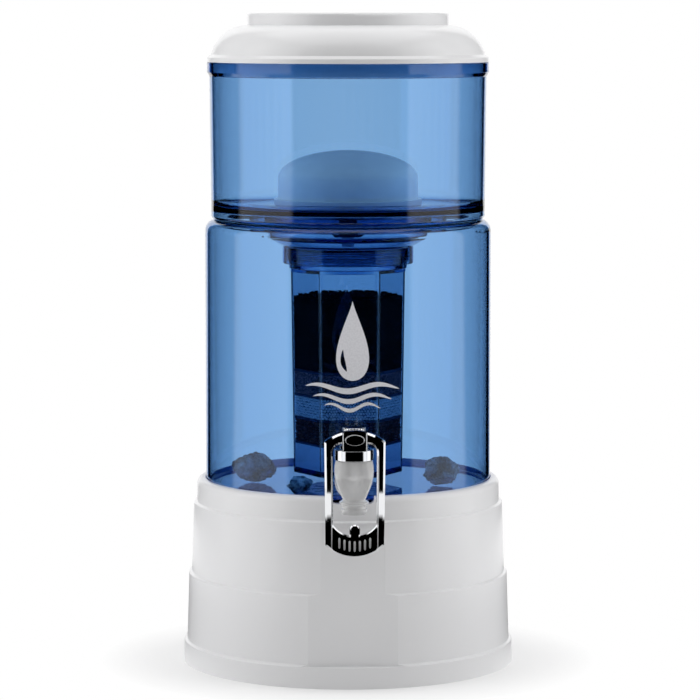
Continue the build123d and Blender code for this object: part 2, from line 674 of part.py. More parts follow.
def make_tap_body():
    """The clear bulb of the nozzle with its tail, which goes through the tank's wall."""
    neck_z = TAP_Z - NOZZLE_NECK_BELOW_TAIL
    bulb = Spline(
        (NOZZLE_R - 1.2, COLLAR_RING_Z - 0.1),
        (NOZZLE_R, TAP_Z + 12.0),
        (NOZZLE_R - 1.2, TAP_Z + 4.0),
        (NOZZLE_R - 3.5, TAP_Z - 2.0),
        (NOZZLE_NECK_R, neck_z),
    )
    top_r = COLLAR_RING_BORE - THREAD_GAP
    ring_z = neck_z - 2.2
    side = [
        Polyline((0, BODY_TOP_Z), (top_r, BODY_TOP_Z), (top_r, COLLAR_RING_Z - 0.1)),
        Line((top_r, COLLAR_RING_Z - 0.1), bulb @ 0),
        bulb,
        Polyline(
            bulb @ 1,
            (NOZZLE_NECK_R + NOZZLE_SKIRT, ring_z + 0.4),
            (NOZZLE_NECK_R + NOZZLE_SKIRT, ring_z - 0.6),
            (NOZZLE_END_R - 0.5, ring_z - 2.0),
            (NOZZLE_END_R - 0.5, NOZZLE_END_Z + 4.6),
            (NOZZLE_END_R + 0.3, NOZZLE_END_Z + 3.8),
            (NOZZLE_END_R + 0.3, NOZZLE_END_Z + 2.2),
            (NOZZLE_END_R - 0.4, NOZZLE_END_Z),
            (0, NOZZLE_END_Z),
            (0, BODY_TOP_Z),
        ),
    ]
    solid = Pos(0, NOZZLE_Y, 0) * revolve(Plane.XZ * make_face(side), Axis.Z)
    tail_end = TAP_INNER_Y + WASHER_T + NUT_T + TAIL_OVER_NUT
    tail = rod_y(TAP_TAIL_R, NOZZLE_Y, tail_end, TAP_Z)
    flange = rod_y(TAP_FLANGE_R, TAP_FLANGE_Y - TAP_FLANGE, TAP_FLANGE_Y, TAP_Z)
    chamber = Pos(0, NOZZLE_Y, 0) * turned(
        (0, NOZZLE_END_Z - 1),
        (NOZZLE_OUT_R, NOZZLE_END_Z - 1),
        (NOZZLE_OUT_R, SEAT_FOOT_Z),
        (SEAT_R, SEAT_TOP_Z),
        (CHAMBER_R, TAP_Z + 8.0, 3.0),
        (CHAMBER_R, BODY_TOP_Z + 1),
        (0, BODY_TOP_Z + 1),
    )
    bore = rod_y(TAP_BORE_R, NOZZLE_Y, tail_end + 1, TAP_Z)
    return solid + tail + flange - chamber - bore


def make_lock_nut():
    inner = TAP_INNER_Y + WASHER_T
    nut = extrude(Plane.XZ.offset(-inner) * RegularPolygon(NUT_FLATS / 2, 6, major_radius=False), -NUT_T)
    return Pos(0, 0, TAP_Z) * nut - rod_y(TAP_TAIL_R + FIT, inner - 1, inner + NUT_T + 1, TAP_Z)


def make_washer(front):
    ring = rod_y(WASHER_R, front, front + WASHER_T, TAP_Z)
    return ring - rod_y(TAP_TAIL_R + FIT, front - 1, front + WASHER_T + 1, TAP_Z)


def make_collar_ring():
    foot, top = COLLAR_RING_Z, COLLAR_RING_Z + COLLAR_RING_H
    ring = turned(
        (COLLAR_RING_BORE, foot),
        (COLLAR_RING_R, foot, 0.5),
        (COLLAR_RING_R, top, 0.8),
        (COLLAR_RING_MOUTH, top, 0.4),
        (COLLAR_RING_MOUTH, BONNET_Z + BONNET_FLANGE),
        (COLLAR_RING_BORE, BONNET_Z + BONNET_FLANGE),
    )
    return Pos(0, NOZZLE_Y, 0) * ring


def lever_plane():
    """The plane that the lever's front view is drawn on, behind the whole lever."""
    return Plane.XZ.offset(-(NOZZLE_Y - 2))


def lever_outline():
    """The lever's outline from the front: arched top, straight sides and rounded foot."""
    top_x, foot_x = LEVER_W_TOP / 2, LEVER_W_FOOT / 2
    shoulder_z, chin_z = LEVER_TOP_Z - LEVER_CROWN, LEVER_FOOT_Z + LEVER_CHIN
    return make_face(
        [
            ThreePointArc((-top_x, shoulder_z), (0, LEVER_TOP_Z), (top_x, shoulder_z)),
            Line((top_x, shoulder_z), (foot_x, chin_z)),
            ThreePointArc((foot_x, chin_z), (0, LEVER_FOOT_Z), (-foot_x, chin_z)),
            Line((-foot_x, chin_z), (-top_x, shoulder_z)),
        ]
    )


def lever_window():
    """The opening that the nozzle shows through, with the tab that stands up from the push plate."""
    half = WINDOW_W / 2
    dip_z = LEVER_FOOT_Z + PLATE_H
    edge_z = dip_z + PLATE_DISH
    opening = make_face(
        [
            Line((-half, edge_z), (-half, WINDOW_TOP_Z)),
            Line((-half, WINDOW_TOP_Z), (half, WINDOW_TOP_Z)),
            Line((half, WINDOW_TOP_Z), (half, edge_z)),
            ThreePointArc((half, edge_z), (0, dip_z), (-half, edge_z)),
        ]
    )
    opening = fillet(opening.vertices().group_by(Axis.Y)[-1], WINDOW_ROUND)
    tab = Pos(0, dip_z + TAB_H - TAB_R) * Circle(TAB_R) + Pos(0, dip_z) * Rectangle(2 * TAB_R, 2 * (TAB_H - TAB_R))
    return opening - tab


def bowed(radius):
    """The cylinder across the lever whose front is the bowed face."""
    return rod_x(radius, 3 * LEVER_W_TOP, BOW_Y, BOW_Z)


def make_tower():
    """The hinge tower in front of the stem, flush with the lever's arch on both sides."""
    form = extrude(lever_plane() * lever_outline(), 2 * LEVER_OUT)
    back = NOZZLE_Y - TOWER_BACK
    core = block((-TOWER_W / 2, TOWER_W / 2), (NOZZLE_Y - 2 * LEVER_OUT, back), (PLATE_Z, LEVER_TOP_Z + 1))
    tower = form & core & bowed(LEVER_BOW_R)
    oval = Ellipse(OVAL_W / 2, OVAL_H / 2) - Ellipse(OVAL_W / 2 - OVAL_LINE, OVAL_H / 2 - OVAL_LINE)
    oval_z = (PLATE_Z + LEVER_TOP_Z) / 2
    ring = extrude(lever_plane() * Pos(0, oval_z) * oval, 2 * LEVER_OUT) - bowed(LEVER_BOW_R - OVAL_DEPTH)
    return tower - ring


def make_bonnet():
    """The guide of the valve stem: flange, neck and top plate, with the hinge tower on its front."""
    stem_hole = STEM_R + RUNNING
    foot, neck_foot = BONNET_Z, BONNET_Z + BONNET_FLANGE
    guide_top = PLATE_Z + BONNET_PLATE + BONNET_GUIDE_H
    body = turned(
        (SEAL_R + FIT, foot),
        (BONNET_FLANGE_R, foot),
        (BONNET_FLANGE_R, neck_foot),
        (BONNET_NECK_R, neck_foot),
        (BONNET_NECK_R, PLATE_Z + BONNET_PLATE, 0.6),
        (BONNET_GUIDE_R, PLATE_Z + BONNET_PLATE),
        (BONNET_GUIDE_R, guide_top, 0.5),
        (stem_hole, guide_top),
        (stem_hole, foot + SEAL_H + 0.1),
        (SEAL_R + FIT, foot + SEAL_H + 0.1),
    )
    body = Pos(0, NOZZLE_Y, 0) * body
    front = NOZZLE_Y - 2 * LEVER_OUT
    shelf = block((-TOWER_W / 2, TOWER_W / 2), (front, NOZZLE_Y - SHELF_BACK), (PLATE_Z, PLATE_Z + BONNET_PLATE))
    shelf &= bowed(LEVER_BOW_R)
    pin_hole = rod_x(PIN_R + RUNNING, 2 * TOWER_W, PIN_Y, PIN_Z)
    return body + shelf + make_tower() - pin_hole


def make_valve_stem():
    return Pos(0, NOZZLE_Y, 0) * disc(STEM_R, SEAT_FOOT_Z + PLUG_SKIN, CROWN_Z + CROWN_H - CROWN_TOP)


def make_valve_plug():
    """The soft plug that closes the seat, its cone drawn a little clear of it."""
    plug = turned(
        (0, SEAT_FOOT_Z),
        (NOZZLE_OUT_R - PLUG_GAP, SEAT_FOOT_Z),
        (SEAT_R - PLUG_GAP, SEAT_TOP_Z),
        (SEAT_R - PLUG_GAP, SPRING_FOOT_Z),
        (0, SPRING_FOOT_Z),
    )
    return Pos(0, NOZZLE_Y, 0) * (plug - disc(STEM_R + FIT, SEAT_FOOT_Z + PLUG_SKIN, SPRING_FOOT_Z + 1))


def make_spring():
    """The coil that holds the plug on its seat."""
    foot = SPRING_FOOT_Z + SPRING_WIRE_R + 0.05
    height = SPRING_TOP_Z - foot - SPRING_WIRE_R - 0.05
    path = Helix(height / SPRING_TURNS, height, SPRING_R, center=(0, NOZZLE_Y, foot))
    start = Plane(origin=path @ 0, z_dir=path % 0)
    return sweep(start * Circle(SPRING_WIRE_R), path=path, is_frenet=True)


def make_crown():
    """The knurled cap on the stem that the lever's fork lifts."""
    top = CROWN_Z + CROWN_H
    crown = turned((0, CROWN_Z), (CROWN_R, CROWN_Z, 0.6), (CROWN_R, top, 1.2), (0, top))
    groove = Pos(CROWN_R + CROWN_GROOVE_R / 4, 0, 0) * disc(CROWN_GROOVE_R, CROWN_Z - 1, top + 1)
    crown -= around(groove, CROWN_GROOVES)
    socket = disc(STEM_R + FIT, CROWN_Z - 1, top - CROWN_TOP)
    return Pos(0, NOZZLE_Y, 0) * (crown - socket)


def from_bow(point):
    """How far a point is from the line that the lever's front is bowed round."""
    return Vector(0, point.Y - BOW_Y, point.Z - BOW_Z).length


def make_lever():
    """The push lever: a bowed loop, open at the top for the tower, with a fork that reaches under the crown."""
    face = lever_outline() - lever_window()
    loop = extrude(lever_plane() * face, 2 * LEVER_OUT) & bowed(LEVER_BOW_R) - bowed(LEVER_BOW_R - LEVER_T)
    front = [
        e
        for e in loop.edges()
        if all(abs(from_bow(e @ t) - LEVER_BOW_R) < 0.01 for t in (0, 0.5, 1))
    ]
    loop = chamfer(front, LEVER_BEVEL)
    plate_top = LEVER_FOOT_Z + PLATE_H + PLATE_DISH
    sunk = block((-WINDOW_W / 2, WINDOW_W / 2), (NOZZLE_Y - 2 * LEVER_OUT, NOZZLE_Y), (LEVER_FOOT_Z - 1, plate_top))
    loop -= sunk - bowed(LEVER_BOW_R - PLATE_SUNK)
    gap = TOWER_W / 2 + TOWER_GAP
    slot = block((-gap, gap), (NOZZLE_Y - 2 * LEVER_OUT, NOZZLE_Y), (WINDOW_TOP_Z - 1, LEVER_TOP_Z + 1))
    loop -= slot
    tip_y = PIN_Y + FORK_BEHIND_PIN
    fork_z = (FORK_TOP_Z - FORK_T, FORK_TOP_Z)
    bar = block((gap, gap + FORK_BAR), (PIN_Y, tip_y), fork_z)
    toe = block((gap - FORK_TOE, gap), (tip_y - FORK_TOE_L, tip_y), fork_z)
    tine = bar + toe
    pin_hole = rod_x(PIN_R + FIT, PIN_L + 1, PIN_Y, PIN_Z)
    return loop + tine + mirror(tine, Plane.YZ) - pin_hole


# ---- Everything together -----------------------------------------------------------------------------------------


def make_parts():
    levels = bed_levels()
    parts = {
        "base_stand": make_stand(),
        "lower_tank": make_lower_tank(),
        "upper_tank": make_upper_tank(),
        "lid": make_lid(),
        "ceramic_dome": make_dome(),
        "dome_plate": make_dome_plate(),
        "dome_gasket": tube(DOME_GASKET_R, STEM_HOLE_R + 1, UPPER_FLOOR_Z, UPPER_FLOOR_Z + GASKET_T),
        "dome_wing_nut": make_wing_nut(),
        "filter_holder": make_holder(),
        "holder_gasket": tube(HOLDER_R - 0.2, HOLDER_R - HOLDER_WALL, HOLDER_TOP_Z, UPPER_UNDER_Z),
        "cartridge_gasket": tube(CAP_R, HOLDER_MOUTH_R, CAP_TOP_Z, COLLAR_TOP_Z),
        "cartridge_cap": make_cap(),
        "cartridge_jar": make_jar(),
        "cartridge_foot": make_jar_foot(),
        "tap_body": make_tap_body(),
        "tap_outer_washer": make_washer(TAP_FLANGE_Y),
        "tap_inner_washer": make_washer(TAP_INNER_Y),
        "tap_lock_nut": make_lock_nut(),
        "bonnet_seal": Pos(0, NOZZLE_Y, 0) * tube(BONNET_FLANGE_R, CHAMBER_R - 0.6, BODY_TOP_Z, BONNET_Z),
        "tap_collar": make_collar_ring(),
        "tap_bonnet": make_bonnet(),
        "stem_seal": Pos(0, NOZZLE_Y, 0) * tube(SEAL_R, STEM_R + RUNNING, BONNET_Z, BONNET_Z + SEAL_H),
        "valve_stem": make_valve_stem(),
        "valve_plug": make_valve_plug(),
        "valve_spring": make_spring(),
        "stem_crown": make_crown(),
        "push_lever": make_lever(),
        "hinge_pin": rod_x(PIN_R, PIN_L, PIN_Y, PIN_Z),
    }
    beds = ("polishing_bed", "tourmaline_bed", "ceramic_ball_bed", "mineral_bed", "carbon_bed")
    for name, (foot, top) in zip(beds, levels):
        parts[name] = hexagon(JAR_WALL + BED_GAP, foot, top)
    for i in range(len(levels) - 1):
        parts[f"divider_{i + 1}"] = make_divider(levels[i][1], levels[i + 1][0])
    for i in range(len(STONES)):
        parts[f"mineral_stone_{i + 1}"] = make_stone(i)
    return parts


os.makedirs("parts", exist_ok=True)
for name, shape in make_parts().items():
    export_step(shape, f"parts/{name}.step")
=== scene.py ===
"""Looks of the gravity water filter: clear blue tanks, white stand and lid, filter media, stones and chromed tap."""

import json
import math
import random

import bmesh
import bpy
from mathutils import Euler, Matrix, Vector, noise
from mathutils.bvhtree import BVHTree

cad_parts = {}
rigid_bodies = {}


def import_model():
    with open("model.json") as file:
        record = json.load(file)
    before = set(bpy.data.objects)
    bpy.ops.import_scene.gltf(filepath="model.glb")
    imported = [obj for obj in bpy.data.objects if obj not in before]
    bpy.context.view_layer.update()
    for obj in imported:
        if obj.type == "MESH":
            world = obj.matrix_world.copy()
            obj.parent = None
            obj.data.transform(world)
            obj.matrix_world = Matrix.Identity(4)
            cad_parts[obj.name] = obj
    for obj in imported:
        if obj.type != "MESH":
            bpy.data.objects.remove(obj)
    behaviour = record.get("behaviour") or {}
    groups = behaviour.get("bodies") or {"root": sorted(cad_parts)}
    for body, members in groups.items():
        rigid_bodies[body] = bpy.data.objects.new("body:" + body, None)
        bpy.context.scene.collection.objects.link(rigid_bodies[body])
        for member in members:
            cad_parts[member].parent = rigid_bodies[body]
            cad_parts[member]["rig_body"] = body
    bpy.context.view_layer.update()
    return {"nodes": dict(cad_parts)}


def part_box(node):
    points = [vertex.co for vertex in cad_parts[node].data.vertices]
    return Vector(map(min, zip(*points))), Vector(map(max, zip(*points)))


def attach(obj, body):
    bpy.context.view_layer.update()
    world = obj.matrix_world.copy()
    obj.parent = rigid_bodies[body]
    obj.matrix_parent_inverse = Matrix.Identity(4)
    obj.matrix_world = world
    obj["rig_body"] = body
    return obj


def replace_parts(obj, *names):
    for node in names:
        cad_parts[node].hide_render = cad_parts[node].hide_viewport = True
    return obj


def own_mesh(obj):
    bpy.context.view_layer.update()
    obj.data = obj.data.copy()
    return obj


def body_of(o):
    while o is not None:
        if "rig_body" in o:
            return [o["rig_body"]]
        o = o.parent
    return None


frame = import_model()
NODES = frame["nodes"]


def mm(value):
    """Millimetres in metres."""
    return value / 1000


# ---- Materials ---------------------------------------------------------------------------------------------------


class Surface:
    """A material under construction: a node tree with a Principled shader and a few short ways to add nodes."""

    def __init__(self, name, colour=(0.8, 0.8, 0.8), roughness=0.5, **sockets):
        self.material = bpy.data.materials.new(name)
        self.material.use_nodes = True
        self.tree = self.material.node_tree
        self.tree.nodes.clear()
        self.output = self.add("ShaderNodeOutputMaterial")
        self.shader = self.add("ShaderNodeBsdfPrincipled")
        self.link(self.shader.outputs["BSDF"], self.output.inputs["Surface"])
        self.set(**{"Base Color": (*colour, 1), "Roughness": roughness})
        self.set(**sockets)

    def add(self, kind, **values):
        node = self.tree.nodes.new(kind)
        for key, value in values.items():
            if hasattr(node, key):
                setattr(node, key, value)
            else:
                node.inputs[key].default_value = value
        return node

    def link(self, source, target):
        self.tree.links.new(source, target)

    def set(self, **sockets):
        for name, value in sockets.items():
            self.shader.inputs[name].default_value = value

    def place(self):
        """Object coordinates, which are metres in the row frame."""
        return self.add("ShaderNodeTexCoord").outputs["Object"]

    def noise(self, scale, detail=3.0, roughness=0.5, vector=None):
        node = self.add("ShaderNodeTexNoise")
        node.inputs["Scale"].default_value = scale
        node.inputs["Detail"].default_value = detail
        node.inputs["Roughness"].default_value = roughness
        self.link(vector or self.place(), node.inputs["Vector"])
        return node.outputs["Fac"]

    def cells(self, scale, feature="F1", output="Distance", vector=None):
        node = self.add("ShaderNodeTexVoronoi")
        node.feature = feature
        node.inputs["Scale"].default_value = scale
        self.link(vector or self.place(), node.inputs["Vector"])
        return node.outputs[output]

    def ramp(self, factor, *stops):
        node = self.add("ShaderNodeValToRGB")
        elements = node.color_ramp.elements
        while len(elements) < len(stops):
            elements.new(0.5)
        for element, (position, colour) in zip(elements, stops):
            element.position = position
            element.color = (*colour, 1)
        self.link(factor, node.inputs["Fac"])
        return node.outputs["Color"]

    def span(self, factor, low, high, from_low=0.0, from_high=1.0):
        node = self.add("ShaderNodeMapRange")
        node.inputs["From Min"].default_value = from_low
        node.inputs["From Max"].default_value = from_high
        node.inputs["To Min"].default_value = low
        node.inputs["To Max"].default_value = high
        self.link(factor, node.inputs["Value"])
        return node.outputs["Result"]

    def bump(self, height, distance, strength=1.0):
        node = self.add("ShaderNodeBump")
        node.inputs["Distance"].default_value = distance
        node.inputs["Strength"].default_value = strength
        self.link(height, node.inputs["Height"])
        self.link(node.outputs["Normal"], self.shader.inputs["Normal"])

    def colour(self, source):
        self.link(source, self.shader.inputs["Base Color"])

    def rough(self, source):
        self.link(source, self.shader.inputs["Roughness"])

    def clear(self, tint, density, ior=1.49):
        """Turns the shader into clear plastic that lets the lamps through and is tinted by its thickness."""
        self.set(**{"Transmission Weight": 1.0, "IOR": ior, "Base Color": (1, 1, 1, 1)})
        through = self.add("ShaderNodeBsdfTransparent")
        path = self.add("ShaderNodeLightPath")
        mix = self.add("ShaderNodeMixShader")
        either = self.add("ShaderNodeMath", operation="MAXIMUM")
        self.link(path.outputs["Is Shadow Ray"], either.inputs[0])
        self.link(path.outputs["Is Diffuse Ray"], either.inputs[1])
        self.link(either.outputs[0], mix.inputs[0])
        self.link(self.shader.outputs["BSDF"], mix.inputs[1])
        self.link(through.outputs["BSDF"], mix.inputs[2])
        self.link(mix.outputs["Shader"], self.output.inputs["Surface"])
        if density:
            absorb = self.add("ShaderNodeVolumeAbsorption")
            absorb.inputs["Color"].default_value = (*tint, 1)
            absorb.inputs["Density"].default_value = density
            self.link(absorb.outputs["Volume"], self.output.inputs["Volume"])


BLUE_TINT = (0.10, 0.51, 0.83)
BLUE_DENSITY = 285.0


def blue_plastic(name, density=BLUE_DENSITY):
    """Clear blue moulded plastic with a faint waviness from the mould."""
    surface = Surface(name, roughness=0.0)
    surface.clear(BLUE_TINT, density)
    surface.bump(surface.noise(9, 1), mm(0.4), 0.25)
    return surface.material


def white_plastic(name, colour):
    """Glossy white moulded plastic, with a faint tone and a fine skin from the mould."""
    surface = Surface(name, colour, 0.28)
    surface.set(**{"Coat Weight": 0.25, "Coat Roughness": 0.12})
    surface.colour(surface.ramp(surface.noise(18, 3), (0.3, tuple(c * 0.985 for c in colour)), (0.7, colour)))
    surface.bump(surface.noise(300, 2), mm(0.01), 0.15)
    return surface.material


def ceramic():
    surface = Surface("fine_ceramic", (0.92, 0.92, 0.91), 0.7)
    surface.colour(surface.ramp(surface.noise(90, 4), (0.3, (0.89, 0.89, 0.88)), (0.7, (0.95, 0.95, 0.94))))
    surface.bump(surface.noise(1800, 4), mm(0.15), 0.4)
    return surface.material


def rubber(name, colour):
    surface = Surface(name, colour, 0.55)
    surface.bump(surface.noise(900, 3), mm(0.05), 0.2)
    return surface.material


def chrome():
    surface = Surface("bright_chrome", (0.86, 0.87, 0.89), 0.04)
    surface.set(Metallic=1.0)
    surface.rough(surface.span(surface.noise(140, 3), 0.02, 0.07))
    return surface.material


def satin():
    """Satin metal edges, which catch light from many sides."""
    surface = Surface("satin_edges", (0.80, 0.81, 0.83), 0.38, Metallic=0.75)
    surface.bump(surface.noise(1500, 2), mm(0.005), 0.3)
    return surface.material


def steel():
    surface = Surface("stainless_steel", (0.62, 0.62, 0.64), 0.25)
    surface.set(Metallic=1.0)
    surface.rough(surface.span(surface.noise(500, 3), 0.18, 0.32))
    return surface.material


def nozzle_plastic():
    """Milky frosted plastic under a smooth skin, which lets some light through."""
    surface = Surface("frosted_nozzle_plastic", (0.92, 0.92, 0.93), 0.20)
    surface.set(**{"Transmission Weight": 0.2, "IOR": 1.46, "Coat Weight": 1.0, "Coat Roughness": 0.05})
    surface.colour(surface.ramp(surface.noise(160, 4), (0.3, (0.90, 0.90, 0.91)), (0.7, (0.97, 0.97, 0.97))))
    surface.bump(surface.noise(2200, 3), mm(0.02), 0.25)
    return surface.material


def carbon():
    surface = Surface("activated_carbon", (0.012, 0.012, 0.014), 0.6, **{"Specular IOR Level": 0.12})
    surface.colour(surface.ramp(surface.noise(900, 3), (0.35, (0.006, 0.006, 0.007)), (0.75, (0.03, 0.03, 0.032))))
    surface.bump(surface.noise(2600, 4), mm(0.25), 0.8)
    return surface.material


def balls(name, low, high, roughness=0.45):
    """Fired balls or grains, each with its own tone."""
    surface = Surface(name, low, roughness)
    shade = surface.add("ShaderNodeNewGeometry").outputs["Random Per Island"]
    surface.colour(surface.ramp(shade, (0.0, low), (0.5, tuple((a + b) / 2 for a, b in zip(low, high))), (1.0, high)))
    surface.bump(surface.noise(3200, 3), mm(0.08), 0.5)
    return surface.material


def painted_gap_shade(name, colour):
    """Painted shade: a dark colour standing in for the shadowed gaps between grains, laid on the core behind the outer
    layer.
    """
    surface = Surface(name, colour, 0.9)
    surface.bump(surface.cells(900), mm(0.3), 0.6)
    return surface.material


def ink():
    """Pale grey screen-printed ink, a little uneven and matt."""
    surface = Surface("pale_ink", (0.80, 0.80, 0.84), 0.42)
    surface.colour(surface.ramp(surface.noise(700, 4), (0.3, (0.76, 0.76, 0.80)), (0.7, (0.86, 0.86, 0.90))))
    surface.bump(surface.noise(4000, 2), mm(0.01), 0.4)
    return surface.material


def bed(name, low, high, size):
    """A bed of grains of about the given size in millimetres."""
    surface = Surface(name, low, 0.55)
    grains = surface.cells(1 / mm(size))
    surface.colour(surface.ramp(surface.cells(1 / mm(size), output="Color"), (0.1, low), (0.9, high)))
    surface.bump(grains, mm(size / 3), -1.0)
    return surface.material


def stone():
    surface = Surface("rough_stone", (0.35, 0.31, 0.28), 0.85)
    patches = surface.noise(90, 6, 0.6)
    surface.colour(
        surface.ramp(patches, (0.38, (0.02, 0.035, 0.05)), (0.47, (0.10, 0.16, 0.21)), (0.56, (0.24, 0.34, 0.42)),
                     (0.66, (0.50, 0.62, 0.70)))
    )
    surface.bump(surface.noise(900, 6, 0.7), mm(0.8), 0.9)
    return surface.material


def paint(material, *names):
    """Gives CAD nodes their material."""
    for name in names:
        mesh = NODES[name].data
        mesh.materials.clear()
        mesh.materials.append(material)


def paint_nodes():
    paint(white_plastic("glossy_white_plastic", (0.83, 0.83, 0.84)), "base_stand", "lid")
    paint(blue_plastic("clear_blue_plastic"), "lower_tank", "upper_tank")
    paint(blue_plastic("clear_blue_fittings"), "filter_holder", "cartridge_cap", "cartridge_jar", "cartridge_foot")
    paint(ceramic(), "ceramic_dome")
    paint(white_plastic("white_plate_plastic", (0.75, 0.76, 0.78)), "dome_plate", "tap_lock_nut")
    paint(rubber("dark_nut_plastic", (0.03, 0.05, 0.10)), "dome_wing_nut")
    paint(rubber("clear_silicone", (0.55, 0.57, 0.6)), "dome_gasket", "holder_gasket", "cartridge_gasket",
          "bonnet_seal", "stem_seal", "tap_outer_washer", "tap_inner_washer", "valve_plug")
    paint(chrome(), "push_lever", "tap_bonnet", "tap_collar", "stem_crown")
    paint(steel(), "hinge_pin", "valve_spring", "valve_stem")
    paint(nozzle_plastic(), "tap_body")
    paint(carbon(), "carbon_bed")
    paint(bed("mineral_grains", (0.05, 0.03, 0.04), (0.30, 0.20, 0.24), 1.2), "mineral_bed")
    paint(bed("ceramic_balls", (0.55, 0.53, 0.50), (0.75, 0.73, 0.70), 2.2), "ceramic_ball_bed")
    paint(bed("tourmaline_balls", (0.06, 0.02, 0.02), (0.16, 0.05, 0.05), 2.2), "tourmaline_bed")
    paint(bed("polishing_balls", (0.66, 0.74, 0.82), (0.84, 0.90, 0.95), 0.8), "polishing_bed")
    paint(rubber("divider_plastic", (0.03, 0.05, 0.10)), "divider_1", "divider_2", "divider_3", "divider_4")
    paint(stone(), "mineral_stone_1", "mineral_stone_2", "mineral_stone_3")


paint_nodes()

# ---- Pieces ------------------------------------------------------------------------------------------------------


def body_under(node):
    """The body that a CAD node rides on."""
    return body_of(NODES[node])[0]


def surface_tree(node):
    """A search tree of a CAD node's surface."""
    mesh = NODES[node].data
    return BVHTree.FromPolygons([v.co for v in mesh.vertices], [p.vertices for p in mesh.polygons])


def make_piece(name, builder, body, *materials, smooth=True):
    """A mesh piece from a bmesh, riding on a body."""
    mesh = bpy.data.meshes.new(name)
    builder.normal_update()
    builder.to_mesh(mesh)
    builder.free()
    for material in materials:
        mesh.materials.append(material)
    if smooth:
        mesh.polygons.foreach_set("use_smooth", [True] * len(mesh.polygons))
    piece = bpy.data.objects.new(name, mesh)
    bpy.context.scene.collection.objects.link(piece)
    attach(piece, body)
    return piece


class Heap:
    """Many balls or grains gathered in one mesh."""

    def __init__(self, detail, shade_core):
        ball = bmesh.new()
        bmesh.ops.create_icosphere(ball, subdivisions=detail, radius=1)
        self.points = [v.co.copy() for v in ball.verts]
        self.sides = [[v.index for v in f.verts] for f in ball.faces]
        ball.free()
        self.spots = [v.co[:] for v in shade_core.verts]
        self.faces = [[v.index for v in f.verts] for f in shade_core.faces]
        self.core_faces = len(self.faces)
        shade_core.free()

    def add(self, place, size, turn=None):
        """Adds a ball, or a grain where size gives three half-sizes."""
        base = len(self.spots)
        if turn is None:
            self.spots += [(place + p * size)[:] for p in self.points]
        else:
            form = turn.to_matrix() @ Matrix.Diagonal(size)
            self.spots += [(place + form @ p)[:] for p in self.points]
        self.faces += [[base + i for i in side] for side in self.sides]

    def piece(self, name, body, material, gap_shade_material, smooth):
        mesh = bpy.data.meshes.new(name)
        mesh.from_pydata(self.spots, [], self.faces)
        mesh.materials.append(material)
        # The core's faces take the second material, painted shade for the gaps between balls or grains.
        mesh.materials.append(gap_shade_material)
        slots = [1] * self.core_faces + [0] * (len(self.faces) - self.core_faces)
        mesh.polygons.foreach_set("material_index", slots)
        mesh.polygons.foreach_set("use_smooth", [smooth] * len(self.faces))
        piece = bpy.data.objects.new(name, mesh)
        bpy.context.scene.collection.objects.link(piece)
        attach(piece, body)
        return piece


def ring_points(tree, height, reach, step, inset, start=0.0):
    """Points spaced evenly round a node at a height, moved in from its side."""
    outline = []
    for i in range(720):
        turn = 2 * math.pi * i / 720
        ray = Vector((math.cos(turn), math.sin(turn), 0))
        hit, normal, _, _ = tree.ray_cast(Vector((0, 0, height)) + ray * reach, -ray)
        outline.append(hit - Vector((normal.x, normal.y, 0)).normalized() * inset)
    outline.append(outline[0])
    lengths = [0.0]
    for a, b in zip(outline, outline[1:]):
        lengths.append(lengths[-1] + (b - a).length)
    count = int(lengths[-1] / step)
    points, at = [], 0
    for i in range(count):
        goal = (i + start) % count * lengths[-1] / count
        while at and lengths[at] > goal:
            at -= 1
        while lengths[at + 1] < goal:
            at += 1
        share = (goal - lengths[at]) / (lengths[at + 1] - lengths[at])
        points.append(outline[at].lerp(outline[at + 1], share))
    return points


def core_of(node, inset):
    """A bmesh of a CAD node, drawn in from its surface, as what lies behind the outer layer."""
    builder = bmesh.new()
    builder.from_mesh(NODES[node].data)
    low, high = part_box(node)
    middle = (low + high) / 2
    shares = [1 - 2 * inset / max(size, 1e-6) for size in (high - low)]
    for vertex in builder.verts:
        vertex.co = middle + Vector(s * d for s, d in zip(shares, vertex.co - middle))
    return builder


def ball_bed(node, size, material, shade_core, loose=0.08):
    """A bed of balls in place of a plain filter bed: rows of single balls round a core painted dark as shade for the
    gaps.
    """
    dice = random.Random(node)
    tree = surface_tree(node)
    low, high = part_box(node)
    heap = Heap(2, core_of(node, size * 0.62))
    rows = round((high.z - low.z - size) / (size * 0.88)) + 1
    for row in range(rows):
        height = low.z + size / 2 + (high.z - low.z - size) * row / (rows - 1)
        for point in ring_points(tree, height, 0.08, size * 1.01, size / 2, 0.5 * (row % 2)):
            jolt = Vector((dice.gauss(0, 1), dice.gauss(0, 1), dice.gauss(0, 1))) * size * loose
            inward = Vector((point.x, point.y, 0)).normalized() * abs(jolt.x)
            spot = point - inward + Vector((0, 0, jolt.z))
            spot.z = min(max(spot.z, low.z + size * 0.45), high.z - size * 0.45)
            heap.add(spot, size * dice.uniform(0.44, 0.49))
    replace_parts(heap.piece(node + "_balls", body_under(node), material, shade_core, True), node)


